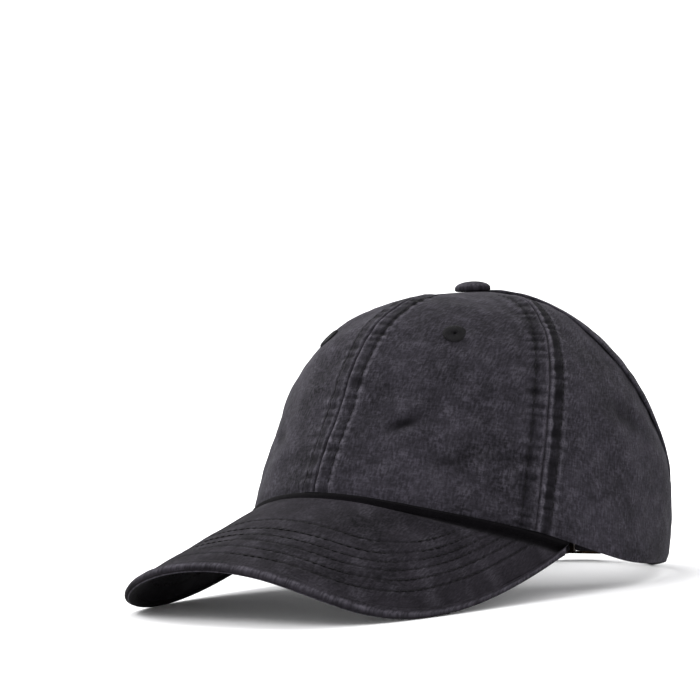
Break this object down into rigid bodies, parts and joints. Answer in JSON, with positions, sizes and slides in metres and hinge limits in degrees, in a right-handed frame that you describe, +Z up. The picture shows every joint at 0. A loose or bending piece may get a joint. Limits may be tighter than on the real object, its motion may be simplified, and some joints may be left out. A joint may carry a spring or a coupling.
{
  "type": "ponytail baseball cap",
  "caption": "Soft baseball cap with a curved brim, a large open back for a ponytail and a strap with a slide buckle.",
  "frame": {"origin": "on the surface that the cap stands on, under the middle of its outline", "axes": "+Z up, brim towards -Y, +X the wearer's left"},
  "size_m": [0.165, 0.2578, 0.1265],
  "materials": {
    "washed_twill": "washed cotton twill, charcoal black, worn paler along seams and folds",
    "brim_twill": "washed cotton twill over a board, near black, with rows of topstitching",
    "strap_twill": "folded cotton twill strap, near black",
    "eyelet_thread": "close whipped black thread",
    "antique_brass": "dark antiqued brass, satin"
  },
  "bodies": {
    "root": {"front_panel_left": "washed_twill", "front_panel_right": "washed_twill", "side_panel_left": "washed_twill", "side_panel_right": "washed_twill", "opening_binding": "washed_twill", "top_button": "washed_twill", "eyelet_left": "eyelet_thread", "eyelet_right": "eyelet_thread", "brim": "brim_twill", "brim_hem": "brim_twill", "strap_long": "strap_twill", "strap_short": "strap_twill", "strap_buckle": "antique_brass"}
  },
  "joints": []
}
